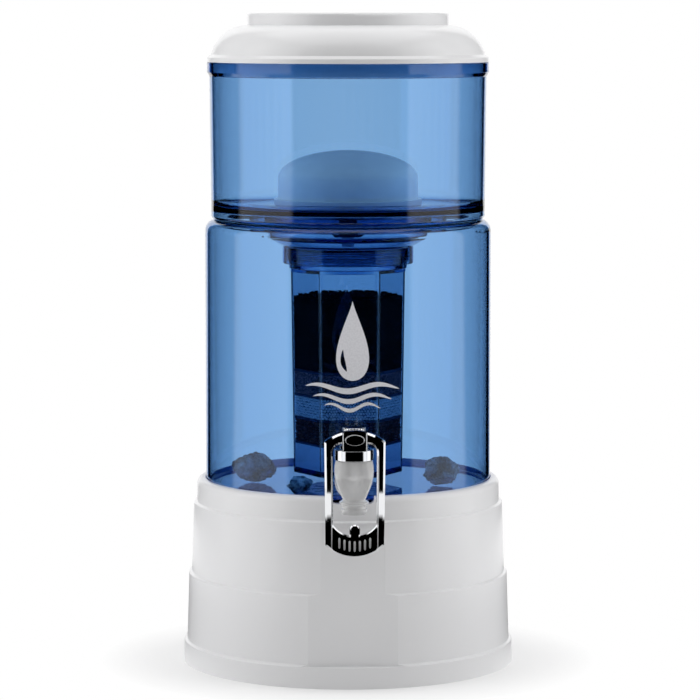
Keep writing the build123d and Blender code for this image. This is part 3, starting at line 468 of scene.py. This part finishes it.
def grain_bed(node, size, material, shade_core, top=False):
    """A bed of angular grains in place of a plain filter bed, heaped unevenly where its top shows."""
    dice = random.Random(node)
    tree = surface_tree(node)
    low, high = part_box(node)
    crown = size * 1.6 if top else 0
    builder = core_of(node, size * 0.55)
    for vertex in builder.verts:
        if top and vertex.co.z > (low.z + high.z) / 2:
            vertex.co.z -= crown
    heap = Heap(1, builder)

    def grain(spot):
        half = [size * dice.uniform(0.36, 0.62) for _ in range(3)]
        turn = Euler([dice.uniform(0, 6.28) for _ in range(3)]).to_quaternion()
        heap.add(spot, half, turn)

    rows = round((high.z - low.z - crown - size) / (size * 0.72)) + 1
    for row in range(rows):
        height = low.z + size * 0.6 + (high.z - low.z - crown - size * 1.2) * row / (rows - 1)
        for point in ring_points(tree, height, 0.08, size * 0.82, size * 0.66, dice.random()):
            grain(point + Vector((0, 0, dice.uniform(-0.16, 0.16) * size)))
    if top:
        reach = (high.x - low.x) / 2
        for _ in range(1500):
            spot = Vector((dice.uniform(-reach, reach), dice.uniform(-reach, reach), 0))
            if any(spot.dot(side) > reach * 0.80 for side in HEXAGON_SIDES):
                continue
            hollow = noise.noise(spot * 60) * 0.5 + 0.5
            spot.z = high.z - size * 0.62 - crown * hollow * dice.uniform(0.5, 1)
            grain(spot)
    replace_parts(heap.piece(node + "_grains", body_under(node), material, shade_core, False), node)


HEXAGON_TURNS = [math.radians(30 + 60 * i) for i in range(6)]
HEXAGON_SIDES = [Vector((math.cos(turn), math.sin(turn), 0)) for turn in HEXAGON_TURNS]
ROCK_FACETS = 16
ROCK_CUT = (0.78, 0.98)  # how near the middle a rock's facets may lie, as a share of its reach
ROCK_FOOT = -0.75  # how steeply down a direction must point to count as the rock's underside


def rough_stone(node, material, seed):
    """A broken, pitted rock in place of a smooth CAD stone, which it keeps within."""
    tree = surface_tree(node)
    low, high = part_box(node)
    middle = (low + high) / 2
    shift = Vector((seed * 7.3, seed * 3.1, seed * 5.7))
    dice = random.Random(seed)
    faces = []
    for _ in range(ROCK_FACETS):
        normal = Vector((dice.gauss(0, 1), dice.gauss(0, 1), dice.gauss(0, 0.8))).normalized()
        faces.append((normal, dice.uniform(*ROCK_CUT)))
    builder = bmesh.new()
    bmesh.ops.create_icosphere(builder, subdivisions=6, radius=1)
    for vertex in builder.verts:
        ray = vertex.co.normalized()
        hit, _, _, _ = tree.ray_cast(middle, ray)
        reach = (hit - middle).length if hit else mm(8)
        broken = min([1.0] + [level / ray.dot(normal) for normal, level in faces if ray.dot(normal) > 0.3])
        if ray.z > ROCK_FOOT:
            reach *= max(broken, 0.7)
        spot = ray * reach
        lumps = noise.fractal((spot + shift) * 110, 0.8, 2.1, 4)
        rough = noise.fractal((spot - shift) * 520, 0.6, 2.0, 4)
        gap = noise.voronoi((spot + shift) * 300)[0][0]
        dent = mm(1.5) * (0.5 - 1.0 * lumps) + mm(0.8) * (0.5 - rough) + mm(2.6) * max(0.0, 0.36 - gap)
        flat = 0.25 if ray.z < ROCK_FOOT else 1.0
        vertex.co = middle + ray * (reach - flat * max(0.0, dent))
    piece = make_piece(node + "_rock", builder, body_under(node), material)
    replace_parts(piece, node)


def make_spring():
    """The valve's spring, held under the bonnet, as a copy of the CAD node with a mesh of its own."""
    piece = bpy.data.objects.new("valve_spring_coil", NODES["valve_spring"].data.copy())
    bpy.context.scene.collection.objects.link(piece)
    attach(piece, body_under("tap_bonnet"))
    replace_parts(piece, "valve_spring")
    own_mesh(piece)


DOME_SIDE = mm(18.3)  # height of the candle's upright side
DOME_WALL = mm(8.0)
DOME_STEPS, DOME_TURNS = 24, 120  # rings up the crown and points round it


def make_dome(material):
    """The candle's shell: an upright side under a smooth elliptic crown, hollow inside."""
    low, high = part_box("ceramic_dome")
    radius, side = (high.x - low.x) / 2, low.z + DOME_SIDE
    rise = high.z - side
    arc = [math.radians(90 * i / DOME_STEPS) for i in range(DOME_STEPS)]
    outer = [(radius - mm(1.2), low.z), (radius - mm(0.35), low.z + mm(0.35)), (radius, low.z + mm(1.2))]
    outer += [(radius * math.cos(a), side + rise * math.sin(a)) for a in arc]
    inner = [((radius - DOME_WALL) * math.cos(a), side + (rise - DOME_WALL) * math.sin(a)) for a in reversed(arc)]
    inner.append((radius - DOME_WALL, low.z))
    builder = bmesh.new()
    centre = (low + high) / 2
    turns = DOME_TURNS
    loops = []
    for reach, height in outer + inner:
        loops.append([
            builder.verts.new((centre.x + reach * math.cos(2 * math.pi * i / turns),
                               centre.y + reach * math.sin(2 * math.pi * i / turns), height))
            for i in range(turns)
        ])
    for k, loop in enumerate(loops):
        after = loops[(k + 1) % len(loops)]
        if k == len(outer) - 1:
            for place, ends in ((high.z, loop), (high.z - DOME_WALL, after)):
                top = builder.verts.new((centre.x, centre.y, place))
                for i in range(turns):
                    builder.faces.new((ends[i], ends[(i + 1) % turns], top))
            continue
        for i in range(turns):
            j = (i + 1) % turns
            builder.faces.new((loop[i], loop[j], after[j], after[i]))
    bmesh.ops.recalc_face_normals(builder, faces=builder.faces)
    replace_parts(make_piece("ceramic_dome_shell", builder, body_under("ceramic_dome"), material), "ceramic_dome")


def ridge(builder, radius, height, foot, top, pitch, points=96):
    """Adds a screw thread's ridge: a rounded three-sided bar wound round the axis."""
    turns = (top - foot) / pitch
    count = int(turns * points)
    ring = None
    for i in range(count + 1):
        turn = 2 * math.pi * i / points
        fade = min(1.0, i / 12, (count - i) / 12)
        z = foot + pitch * i / points
        out = Vector((math.cos(turn), math.sin(turn), 0))
        section = [(-0.12, -0.34), (height * 0.82, -0.13), (height, 0), (height * 0.82, 0.13), (-0.12, 0.34)]
        new = [
            builder.verts.new(out * (radius + mm(a * (fade if a > 0 else 1))) + Vector((0, 0, z + b * pitch)))
            for a, b in section
        ]
        if ring:
            for j in range(len(new)):
                k = (j + 1) % len(new)
                builder.faces.new((ring[j], ring[k], new[k], new[j]))
        else:
            builder.faces.new(new)
        ring = new
    builder.faces.new(list(reversed(ring)))


def thread(name, node, radius, height, foot, top, pitch, material):
    """A ridge on a round wall of a node, given in millimetres."""
    builder = bmesh.new()
    ridge(builder, mm(radius), height, mm(foot), mm(top), mm(pitch))
    bmesh.ops.recalc_face_normals(builder, faces=builder.faces)
    make_piece(name, builder, body_under(node), material)


INK = mm(0.06)  # thickness of the print


def smooth_loop(points, steps=10):
    """A closed Catmull-Rom curve through points."""
    loop = []
    count = len(points)
    for i in range(count):
        a, b, c, d = (Vector((*points[(i + k) % count], 0)) for k in (-1, 0, 1, 2))
        for j in range(steps):
            t = j / steps
            spot = 0.5 * (2 * b + (c - a) * t + (2 * a - 5 * b + 4 * c - d) * t * t + (3 * b - a - 3 * c + d) * t ** 3)
            loop.append((spot.x, spot.y))
    return loop


def wave(middle, height, reach, thick, rise):
    """A wavy stroke that tapers to both ends, as a closed outline in millimetres."""
    upper, lower = [], []
    for i in range(61):
        t = i / 60
        x = middle + reach * (2 * t - 1)
        y = height + rise * math.sin(2 * math.pi * (t * 1.5 + 0.08))
        half = thick * math.sin(math.pi * t) ** 0.6 / 2
        upper.append((x, y + half))
        lower.append((x, y - half))
    return upper + lower[::-1]


def droplet(middle, foot, width, height):
    """A drop of water with a drawn-out tip."""
    outline = []
    for i in range(96):
        t = 2 * math.pi * i / 96
        lean = math.sin(t / 2) ** 1.6
        outline.append((middle + width / 2 * math.sin(t) * lean, foot + height * (1 + math.cos(t)) / 2))
    return outline


def ink_sheet(builder, outlines, radius):
    """Adds flat outlines in millimetres, the first with the others as holes, wrapped as thin ink on a round wall."""
    flat = bmesh.new()
    edges = []
    for outline in outlines:
        ring = [flat.verts.new((mm(x), mm(y), 0)) for x, y in outline]
        edges += [flat.edges.new((a, b)) for a, b in zip(ring, ring[1:] + ring[:1])]
    bmesh.ops.triangle_fill(flat, use_beauty=True, use_dissolve=False, edges=edges)
    low = min(v.co.x for v in flat.verts)
    high = max(v.co.x for v in flat.verts)
    at = low + mm(1.2)
    while at < high:
        parts = flat.verts[:] + flat.edges[:] + flat.faces[:]
        bmesh.ops.bisect_plane(flat, geom=parts, plane_co=(at, 0, 0), plane_no=(1, 0, 0), dist=1e-6)
        at += mm(1.2)
    for face in flat.faces:
        if face.normal.z < 0:
            face.normal_flip()
    sheet = bmesh.ops.extrude_face_region(flat, geom=flat.faces[:])
    lifted = {v for v in sheet["geom"] if isinstance(v, bmesh.types.BMVert)}
    for vertex in flat.verts:
        out = radius + (INK if vertex in lifted else INK * 0.25)
        turn = vertex.co.x / radius
        vertex.co = Vector((out * math.sin(turn), -out * math.cos(turn), vertex.co.y))
    bmesh.ops.recalc_face_normals(flat, faces=flat.faces)
    mesh = bpy.data.meshes.new("ink")
    flat.to_mesh(mesh)
    flat.free()
    builder.from_mesh(mesh)
    bpy.data.meshes.remove(mesh)


def make_print(material):
    """A plain printed motif on the front of the lower tank: a drop of water over three waves."""
    low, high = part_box("lower_tank")
    radius = (high.x - low.x) / 2
    builder = bmesh.new()
    shine = smooth_loop([(-7.5, 262), (-9.2, 256), (-8.6, 250), (-4.6, 245.2), (-5.2, 251), (-6.6, 257)])
    ink_sheet(builder, [droplet(0, 238, 37, 62), shine], radius)
    for height, reach, thick in ((232.5, 37, 4.6), (224.5, 31, 3.9), (217.5, 22, 3.1)):
        ink_sheet(builder, [wave(0, height, reach, thick, 2.6)], radius)
    make_piece("tank_print", builder, body_under("lower_tank"), material, smooth=False)


BEAD_R = mm(0.42)


def bead(builder, points, radius, closed=False, sides=8):
    """Adds a thin round bar along points."""
    rings = []
    count = len(points)
    for i, point in enumerate(points):
        before = points[i - 1] if i or closed else point
        after = points[(i + 1) % count] if i + 1 < count or closed else point
        along = (after - before).normalized()
        aside = along.cross(Vector((0, -1, 0))).normalized()
        up = aside.cross(along)
        turns = [2 * math.pi * k / sides for k in range(sides)]
        rings.append([builder.verts.new(point + (aside * math.cos(t) + up * math.sin(t)) * radius) for t in turns])
    pairs = list(zip(rings, rings[1:])) + ([(rings[-1], rings[0])] if closed else [])
    for a, b in pairs:
        for k in range(sides):
            builder.faces.new((a[k], a[(k + 1) % sides], b[(k + 1) % sides], b[k]))
    if not closed:
        builder.faces.new(list(reversed(rings[0])))
        builder.faces.new(rings[-1])


def front_of(tree, x, z):
    """Where a node's surface is first met from the front."""
    hit, _, _, _ = tree.ray_cast(Vector((x, -0.5, z)), Vector((0, 1, 0)))
    return hit


def make_beads(material):
    """Polished edges: the lever's rails, the tower's sides and the oval on its face."""
    tree = surface_tree("push_lever")
    low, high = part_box("push_lever")
    builder = bmesh.new()
    for side in (-1, 1):
        x = side * mm(17.5)
        points = [front_of(tree, x, low.z + mm(7.5 + 0.5 * i)) for i in range(143)]
        bead(builder, [p for p in points if p], BEAD_R)
    bmesh.ops.recalc_face_normals(builder, faces=builder.faces)
    make_piece("lever_edges", builder, body_under("push_lever"), material)
    tree = surface_tree("tap_bonnet")
    low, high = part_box("tap_bonnet")
    builder = bmesh.new()
    for side in (-1, 1):
        x = side * mm(8.9)
        points = [front_of(tree, x, low.z + mm(0.5 * i)) for i in range(80)]
        bead(builder, [p for p in points if p and p.y < low.y + mm(4)], BEAD_R)
    middle = high.z - mm(6.9)
    points = []
    for i in range(72):
        turn = 2 * math.pi * i / 72
        spot = front_of(tree, mm(7.2) * math.cos(turn), middle + mm(3.8) * math.sin(turn))
        points.append(spot)
    bead(builder, points, BEAD_R, closed=True)
    bmesh.ops.recalc_face_normals(builder, faces=builder.faces)
    make_piece("tower_edges", builder, body_under("tap_bonnet"), material)


GRIP_RIBS = 7
GRIP_STEP = 3.9


def make_grip(material):
    """Raised upright ribs on the push plate, for the thumb."""
    tree = surface_tree("push_lever")
    low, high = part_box("push_lever")
    builder = bmesh.new()
    for i in range(GRIP_RIBS):
        place = GRIP_STEP * (i - (GRIP_RIBS - 1) / 2)
        x = mm(place)
        rise = mm(4.3)
        middle = low.z + mm(8.6 + 0.02 * place ** 2)
        rings = []
        for j in range(13):
            z = middle + rise * (j / 12 * 2 - 1)
            hit, normal, _, _ = tree.ray_cast(Vector((x, low.y - 0.05, z)), Vector((0, 1, 0)))
            swell = math.sqrt(max(0.0, 1 - (j / 6 - 1) ** 6))
            ring = []
            for k in range(9):
                turn = math.pi * k / 8
                side = Vector((math.cos(turn) * mm(0.85) * (0.4 + 0.6 * swell), 0, 0))
                ring.append(builder.verts.new(hit + side + normal * (mm(0.5) * math.sin(turn) * swell - mm(0.02))))
            rings.append(ring)
        for a, b in zip(rings, rings[1:]):
            for k in range(8):
                builder.faces.new((a[k], a[k + 1], b[k + 1], b[k]))
    bmesh.ops.recalc_face_normals(builder, faces=builder.faces)
    make_piece("push_plate_grip", builder, body_under("push_lever"), material)


def make_pieces():
    # Each bed's core takes a dark material, painted shade for the gaps between its balls or grains.
    ball_bed("ceramic_ball_bed", mm(2.25), balls("ceramic_balls", (0.78, 0.79, 0.78), (0.93, 0.93, 0.92)),
             painted_gap_shade("ceramic_gaps_painted_shade", (0.16, 0.14, 0.12)))
    ball_bed("tourmaline_bed", mm(2.4), balls("tourmaline_balls", (0.06, 0.02, 0.02), (0.20, 0.07, 0.06)),
             painted_gap_shade("tourmaline_gaps_painted_shade", (0.02, 0.01, 0.01)), 0.14)
    grain_bed("mineral_bed", mm(1.5), balls("mineral_grains", (0.06, 0.03, 0.04), (0.42, 0.27, 0.30), 0.6),
              painted_gap_shade("mineral_gaps_painted_shade", (0.03, 0.02, 0.02)))
    grain_bed("carbon_bed", mm(1.7), carbon(), painted_gap_shade("carbon_core_painted_shade", (0.004, 0.004, 0.005)), top=True)
    rock = stone()
    for number in (1, 2, 3):
        rough_stone(f"mineral_stone_{number}", rock, number)
    make_dome(ceramic())
    make_spring()
    fittings = blue_plastic("clear_blue_threads")
    thread("cap_thread", "cartridge_cap", 48.3, 0.95, 324.0, 332.4, 2.8, fittings)
    thread("jar_thread", "cartridge_jar", 43.9, 0.95, 319.6, 327.6, 2.4, fittings)
    make_print(ink())
    make_grip(satin())
    make_beads(satin())


make_pieces()

# ---- Studio ------------------------------------------------------------------------------------------------------

CAMERA_TURN = math.radians(-1.8)
CAMERA_DISTANCE = 2.660
CAMERA_HEIGHT = 0.5217
CAMERA_TILT = math.radians(5.827)
CAMERA_ASIDE = 0.0016
LENS = 170.84


def make_camera():
    camera = bpy.data.objects.new("camera", bpy.data.cameras.new("camera"))
    bpy.context.scene.collection.objects.link(camera)
    camera.data.lens = LENS
    camera.data.sensor_width = 36
    camera.data.clip_end = 50
    away = Vector((math.sin(CAMERA_TURN), -math.cos(CAMERA_TURN), 0))
    right = Vector((math.cos(CAMERA_TURN), math.sin(CAMERA_TURN), 0))
    camera.location = away * CAMERA_DISTANCE + right * CAMERA_ASIDE + Vector((0, 0, CAMERA_HEIGHT))
    camera.rotation_euler = (math.pi / 2 - CAMERA_TILT, 0, CAMERA_TURN)
    bpy.context.scene.camera = camera


def area_light(name, place, target, size, radiance):
    """A rectangular soft light of the given radiance, facing its target."""
    light = bpy.data.lights.new(name, "AREA")
    light.shape = "RECTANGLE"
    light.size, light.size_y = size
    light.energy = radiance * math.pi * size[0] * size[1]
    lamp = bpy.data.objects.new(name, light)
    bpy.context.scene.collection.objects.link(lamp)
    lamp.location = place
    lamp.rotation_euler = (Vector(target) - Vector(place)).to_track_quat("-Z", "Y").to_euler()
    lamp.visible_camera = False
    return lamp


SIDE_RADIANCE, TOP_RADIANCE = 1.45, 1.25


def make_lights():
    for side in (-1, 1):
        panel = area_light(f"side_panel_{side}", (1.25 * side, 0.1, 0.95), (0, -0.05, 0.45), (2.1, 1.9), SIDE_RADIANCE)
        panel.visible_glossy = panel.visible_transmission = False
    area_light("top_panel", (0, 0.1, 1.9), (0, 0, 0.3), (1.8, 1.8), TOP_RADIANCE)


# what reflections see from the front, 0, round either side to the back, 1: dark, a soft panel, dark, the white backdrop
PANEL_STOPS = (
    (0.0, 0.0), (0.262, 0.0), (0.280, 1.25), (0.56, 1.1), (0.59, 0.0), (0.868, 0.0), (0.882, 1.0),
)
TOP_FADE = (0.72, 0.80)  # height of a direction over which the panels end
AMBIENT = 0.25  # even light from all round


class Studio:
    """What reflections see all round: a dark studio with a tall soft panel on each side."""

    def __init__(self, tree):
        self.tree = tree
        path = self.node("ShaderNodeLightPath")
        straight = self.math("MULTIPLY", self.math("LESS_THAN", path.outputs["Glossy Depth"], 0.5),
                             self.math("LESS_THAN", path.outputs["Diffuse Depth"], 0.5))
        through = self.math("MULTIPLY", path.outputs["Is Transmission Ray"], straight)
        self.seen = self.math("MAXIMUM", path.outputs["Is Camera Ray"], through)
        self.mirrored = path.outputs["Is Glossy Ray"]

    def node(self, kind):
        return self.tree.nodes.new(kind)

    def math(self, operation, first, second):
        node = self.node("ShaderNodeMath")
        node.operation = operation
        for socket, value in zip(node.inputs, (first, second)):
            if isinstance(value, (int, float)):
                socket.default_value = value
            else:
                self.tree.links.new(value, socket)
        return node.outputs[0]

    def panels(self, vector):
        """The brightness of the side panels in a direction from the object."""
        axes = self.node("ShaderNodeSeparateXYZ")
        self.tree.links.new(vector, axes.inputs[0])
        turn = self.math("ARCTAN2", self.math("ABSOLUTE", axes.outputs["X"], 0),
                         self.math("MULTIPLY", axes.outputs["Y"], -1))
        ramp = self.node("ShaderNodeValToRGB")
        elements = ramp.color_ramp.elements
        while len(elements) < len(PANEL_STOPS):
            elements.new(0.5)
        for element, (position, value) in zip(elements, PANEL_STOPS):
            element.position = position
            element.color = (value, value, value, 1)
        self.tree.links.new(self.math("DIVIDE", turn, math.pi), ramp.inputs["Fac"])
        return ramp.outputs["Color"], axes.outputs["Z"]

    def glow(self, kind, brightness):
        node = self.node(kind)
        if isinstance(brightness, float):
            node.inputs["Strength"].default_value = brightness
        else:
            self.tree.links.new(brightness, node.inputs["Color"])
        return node.outputs[0]

    def mix(self, factor, low, high):
        node = self.node("ShaderNodeMixShader")
        for socket, source in zip(node.inputs, (factor, low, high)):
            self.tree.links.new(source, socket)
        return node.outputs[0]


def make_world():
    world = bpy.data.worlds.new("studio")
    bpy.context.scene.world = world
    world.use_nodes = True
    tree = world.node_tree
    tree.nodes.clear()
    studio = Studio(tree)
    out = studio.node("ShaderNodeOutputWorld")
    light, height = studio.panels(studio.node("ShaderNodeTexCoord").outputs["Generated"])
    fade = studio.node("ShaderNodeMapRange")
    for name, value in zip(("From Min", "From Max", "To Min", "To Max"), (*TOP_FADE, 1, 0)):
        fade.inputs[name].default_value = value
    tree.links.new(height, fade.inputs["Value"])
    lit = studio.node("ShaderNodeVectorMath")
    lit.operation = "SCALE"
    tree.links.new(light, lit.inputs[0])
    tree.links.new(fade.outputs[0], lit.inputs["Scale"])
    white = studio.glow("ShaderNodeBackground", 1.0)
    white.node.inputs["Color"].default_value = (1, 1, 1, 1)
    dim = studio.glow("ShaderNodeBackground", AMBIENT)
    dim.node.inputs["Color"].default_value = (1, 1, 1, 1)
    panels = studio.glow("ShaderNodeBackground", lit.outputs[0])
    mixed = studio.mix(studio.seen, studio.mix(studio.mirrored, dim, panels), white)
    tree.links.new(mixed, out.inputs["Surface"])


FLOOR_R = 6.0
PAINTED_STRIP_REACH = (0.50, 0.54, 0.82, 0.88)  # reach of a painted bright strip on the floor before the object, which glows only in reflections though it is no lamp
PAINTED_PANEL_FOOT = (0.55, 0.95)  # where the painted image of the side panels, which the floor glows with only in reflections, ends on the floor
FLOOR_SHADE_R = (0.128, 0.20)  # the floor keeps its own shade inside the first and is backdrop past the second


def make_floor():
    """A pale floor that keeps the object's shadow and passes into the white background away from it; in reflections it
    glows with a painted image of the side panels and a painted bright strip, and is dark elsewhere.
    """
    mesh = bpy.data.meshes.new("floor")
    builder = bmesh.new()
    bmesh.ops.create_circle(builder, cap_ends=True, segments=96, radius=FLOOR_R)
    builder.to_mesh(mesh)
    builder.free()
    floor = bpy.data.objects.new("floor", mesh)
    bpy.context.scene.collection.objects.link(floor)
    surface = Surface("pale_floor", (0.9, 0.9, 0.9), 0.6)
    studio = Studio(surface.tree)
    place = surface.place()
    light, _ = studio.panels(place)
    distance = surface.add("ShaderNodeVectorMath", operation="LENGTH")
    surface.link(place, distance.inputs[0])
    far = surface.add("ShaderNodeVectorMath", operation="SCALE")
    surface.link(light, far.inputs[0])
    surface.link(surface.span(distance.outputs["Value"], 0, 1, *PAINTED_PANEL_FOOT), far.inputs["Scale"])
    light = far.outputs[0]
    painted_strip = surface.ramp(
        distance.outputs["Value"],
        *((reach, (shade,) * 3) for reach, shade in zip(PAINTED_STRIP_REACH, (0, 1, 1, 0))),
    )
    brighter = surface.add("ShaderNodeVectorMath", operation="MAXIMUM")
    surface.link(light, brighter.inputs[0])
    surface.link(painted_strip, brighter.inputs[1])
    light = brighter.outputs["Vector"]
    away = surface.span(distance.outputs["Value"], 0, 1, *FLOOR_SHADE_R)
    shaded = surface.shader.outputs["BSDF"]
    # Painted reflection: for reflected rays the floor past FLOOR_SHADE_R glows with the painted panel image and strip,
    # though it is no lamp, and is dark elsewhere.
    mirrored = studio.mix(studio.math("MULTIPLY", studio.mirrored, away), shaded,
                          studio.glow("ShaderNodeEmission", light))
    seen = studio.mix(studio.math("MULTIPLY", studio.seen, away), mirrored,
                      studio.glow("ShaderNodeEmission", 1.0))
    surface.link(seen, surface.output.inputs["Surface"])
    mesh.materials.append(surface.material)


make_camera()
make_lights()
make_world()
make_floor()

scene = bpy.context.scene
scene.view_settings.view_transform = "Standard"
scene.cycles.max_bounces = 32
scene.cycles.transmission_bounces = 32
scene.cycles.transparent_max_bounces = 32
scene.cycles.caustics_refractive = False
scene.cycles.caustics_reflective = False
